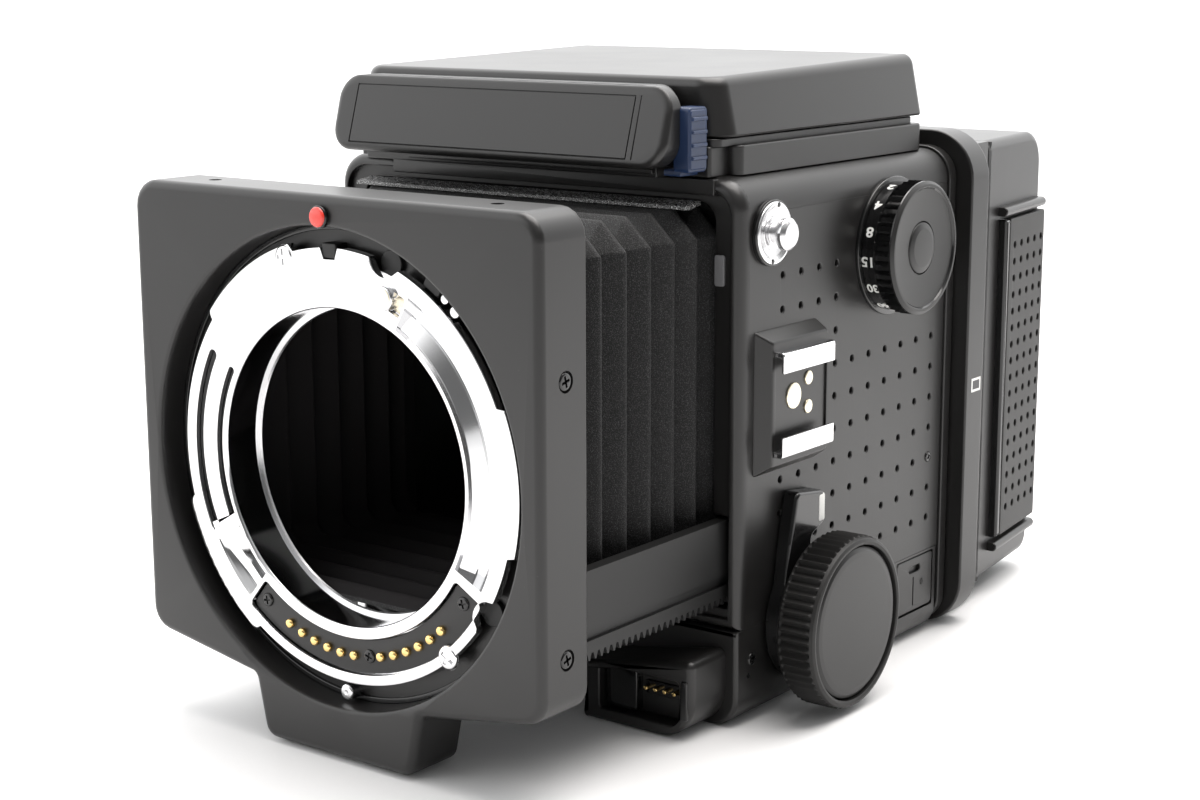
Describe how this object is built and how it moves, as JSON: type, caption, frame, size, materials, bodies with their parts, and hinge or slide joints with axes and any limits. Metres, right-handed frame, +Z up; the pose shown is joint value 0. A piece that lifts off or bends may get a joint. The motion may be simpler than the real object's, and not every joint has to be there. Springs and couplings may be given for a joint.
{
  "type": "medium format film camera",
  "caption": "Bellows-focusing medium format SLR body with chrome bayonet, folding waist-level finder, revolving roll-film back, focus knobs, shutter dial and accessory shoe, without lens.",
  "frame": {"origin": "centre of the tripod socket's mouth, in the plane that the camera stands on", "axes": "+Z up, +Y from the lens mount to the film back along the optical axis, +X to the operator's left (the viewer's right when facing the mount)"},
  "size_m": [0.132, 0.2059, 0.1296],
  "materials": {
    "body_plastic": "satin, fine grain",
    "body_casting": "black painted casting",
    "back_metal": "satin black",
    "bright_chrome": "polished",
    "steel": "brushed",
    "black_plastic": "satin",
    "black_rubber": "ribbed",
    "gold": "gold plated",
    "bellows_cloth": "grained leatherette",
    "red_mark": "gloss",
    "blue_plastic": "satin",
    "plate": "satin, bare",
    "black_metal": "matt black",
    "mirror_face": "silvered",
    "ground_glass": "ground",
    "lens_glass": "polished"
  },
  "bodies": {
    "body": {"front_frame": "body_plastic", "body_shell": "body_casting", "side_cover_left": "body_plastic", "side_cover_right": "body_plastic", "back_flange": "body_plastic", "base": "body_plastic", "port_lobe": "body_plastic", "release_lobe": "body_plastic", "battery_holder": "body_plastic", "tripod_bush": "steel", "cable_pins": "gold", "bellows": "bellows_cloth", "strap_lug_left": "bright_chrome", "strap_lug_right": "bright_chrome", "dial_base": "black_plastic", "shoe_plinth": "black_plastic", "shoe_rail_upper": "bright_chrome", "shoe_rail_lower": "bright_chrome", "shoe_contacts": "gold", "focusing_screen": "ground_glass", "finder_base": "body_plastic", "name_block": "body_plastic", "bare_plate": "plate"},
    "front": {"front_standard": "body_plastic", "mount_ring": "bright_chrome", "contact_block": "black_plastic", "contact_pins": "gold", "index_dot": "red_mark", "lens_lock_pin": "bright_chrome", "rail_left": "steel", "rail_right": "steel"},
    "focus_drive": {"focus_shaft": "steel", "knob_left": "black_rubber", "knob_right": "black_rubber", "knob_face_left": "black_plastic", "knob_face_right": "black_plastic"},
    "focus_lock": {"lock_lever": "black_plastic"},
    "dial": {"shutter_dial": "black_plastic", "dial_cap": "black_plastic"},
    "cocking": {"cocking_lever": "black_plastic"},
    "collar": {"release_collar": "black_plastic"},
    "button": {"release_button": "bright_chrome"},
    "mirror": {"mirror_carrier": "black_metal", "mirror_glass": "mirror_face"},
    "battery_door": {"battery_cover": "black_plastic"},
    "lid": {"finder_lid": "body_plastic"},
    "flap_left": {"hood_left": "black_metal"},
    "flap_right": {"hood_right": "black_metal"},
    "flap_back": {"hood_back": "black_metal"},
    "loupe": {"magnifier": "black_plastic", "magnifier_lens": "lens_glass"},
    "latch": {"finder_latch": "blue_plastic"},
    "back": {"revolving_adapter": "back_metal", "magazine_frame": "back_metal", "film_insert": "back_metal"},
    "film_door": {"magazine_cover": "body_plastic", "grip_panel": "black_rubber"},
    "spool": {"take_up_spool": "black_plastic"},
    "slide": {"dark_slide": "steel"}
  },
  "joints": [
    {"name": "focus_slide", "type": "slide", "parent": "body", "child": "front", "axis": [0, 1, 0], "range_m": [0, 0.0455], "deforming": ["bellows"]},
    {"name": "focus_turn", "type": "hinge", "parent": "body", "child": "focus_drive", "pos_m": [0, -0.0178, 0.019], "axis": [-1, 0, 0], "range_deg": [0, 378]},
    {"name": "focus_lock", "type": "hinge", "parent": "body", "child": "focus_lock", "pos_m": [0.0544, -0.0178, 0.019], "axis": [-1, 0, 0], "range_deg": [0, 30]},
    {"name": "shutter_dial", "type": "hinge", "parent": "body", "child": "dial", "pos_m": [0.0529, 0.0165, 0.0906], "axis": [1, 0, 0], "range_deg": [-160, 160]},
    {"name": "cocking_stroke", "type": "hinge", "parent": "body", "child": "cocking", "pos_m": [-0.056, 0.012, 0.078], "axis": [-1, 0, 0], "range_deg": [0, 120]},
    {"name": "release_lock", "type": "hinge", "parent": "body", "child": "collar", "pos_m": [-0.036, -0.0525, 0.0072], "axis": [0, 1, 0], "range_deg": [0, 60]},
    {"name": "shutter_release", "type": "slide", "parent": "body", "child": "button", "axis": [0, 1, 0], "range_m": [0, 0.002], "stiffness_N_per_m": 300, "springref_m": -0.002},
    {"name": "mirror_swing", "type": "hinge", "parent": "body", "child": "mirror", "pos_m": [0, 0.036, 0.095], "axis": [-1, 0, 0], "range_deg": [0, 45]},
    {"name": "battery_door", "type": "hinge", "parent": "body", "child": "battery_door", "pos_m": [0.0508, 0.031, 0.0082], "axis": [0, 1, 0], "range_deg": [0, 95]},
    {"name": "finder_lid", "type": "hinge", "parent": "body", "child": "lid", "pos_m": [0, -0.0386, 0.126], "axis": [1, 0, 0], "range_deg": [0, 90]},
    {"name": "hood_left", "type": "hinge", "parent": "body", "child": "flap_left", "pos_m": [0.0349, 0, 0.118], "axis": [0, 1, 0], "range_deg": [0, 90]},
    {"name": "hood_right", "type": "hinge", "parent": "body", "child": "flap_right", "pos_m": [-0.0349, 0, 0.118], "axis": [0, -1, 0], "range_deg": [0, 90]},
    {"name": "hood_back", "type": "hinge", "parent": "body", "child": "flap_back", "pos_m": [0, 0.0342, 0.118], "axis": [-1, 0, 0], "range_deg": [0, 90]},
    {"name": "magnifier_swing", "type": "hinge", "parent": "lid", "child": "loupe", "pos_m": [0, -0.0146, 0.1239], "axis": [-1, 0, 0], "range_deg": [0, 90]},
    {"name": "finder_latch", "type": "slide", "parent": "body", "child": "latch", "axis": [-1, 0, 0], "range_m": [0, 0.002], "stiffness_N_per_m": 200, "springref_m": -0.002},
    {"name": "back_rotation", "type": "hinge", "parent": "body", "child": "back", "pos_m": [0, 0.0413, 0.0565], "axis": [0, 1, 0], "range_deg": [0, 90]},
    {"name": "dark_slide", "type": "slide", "parent": "back", "child": "slide", "axis": [-1, 0, 0], "range_m": [0, 0.082]},
    {"name": "magazine_door", "type": "hinge", "parent": "back", "child": "film_door", "pos_m": [-0.0497, 0.06615, 0.0565], "axis": [0, 0, 1], "range_deg": [0, 100]},
    {"name": "take_up", "type": "hinge", "parent": "back", "child": "spool", "pos_m": [0, 0.08, 0.092], "axis": [1, 0, 0], "range_deg": [0, 405]}
  ],
  "couplings": [
    {"joint": "focus_turn", "follows": "focus_slide", "rad_per_m": 144.93},
    {"joint": "hood_left", "follows": "finder_lid", "ratio": 1},
    {"joint": "hood_right", "follows": "finder_lid", "ratio": 1},
    {"joint": "hood_back", "follows": "finder_lid", "ratio": 1},
    {"joint": "magnifier_swing", "follows": "finder_lid", "ratio": 1},
    {"joint": "take_up", "follows": "cocking_stroke", "ratio": 3}
  ]
}
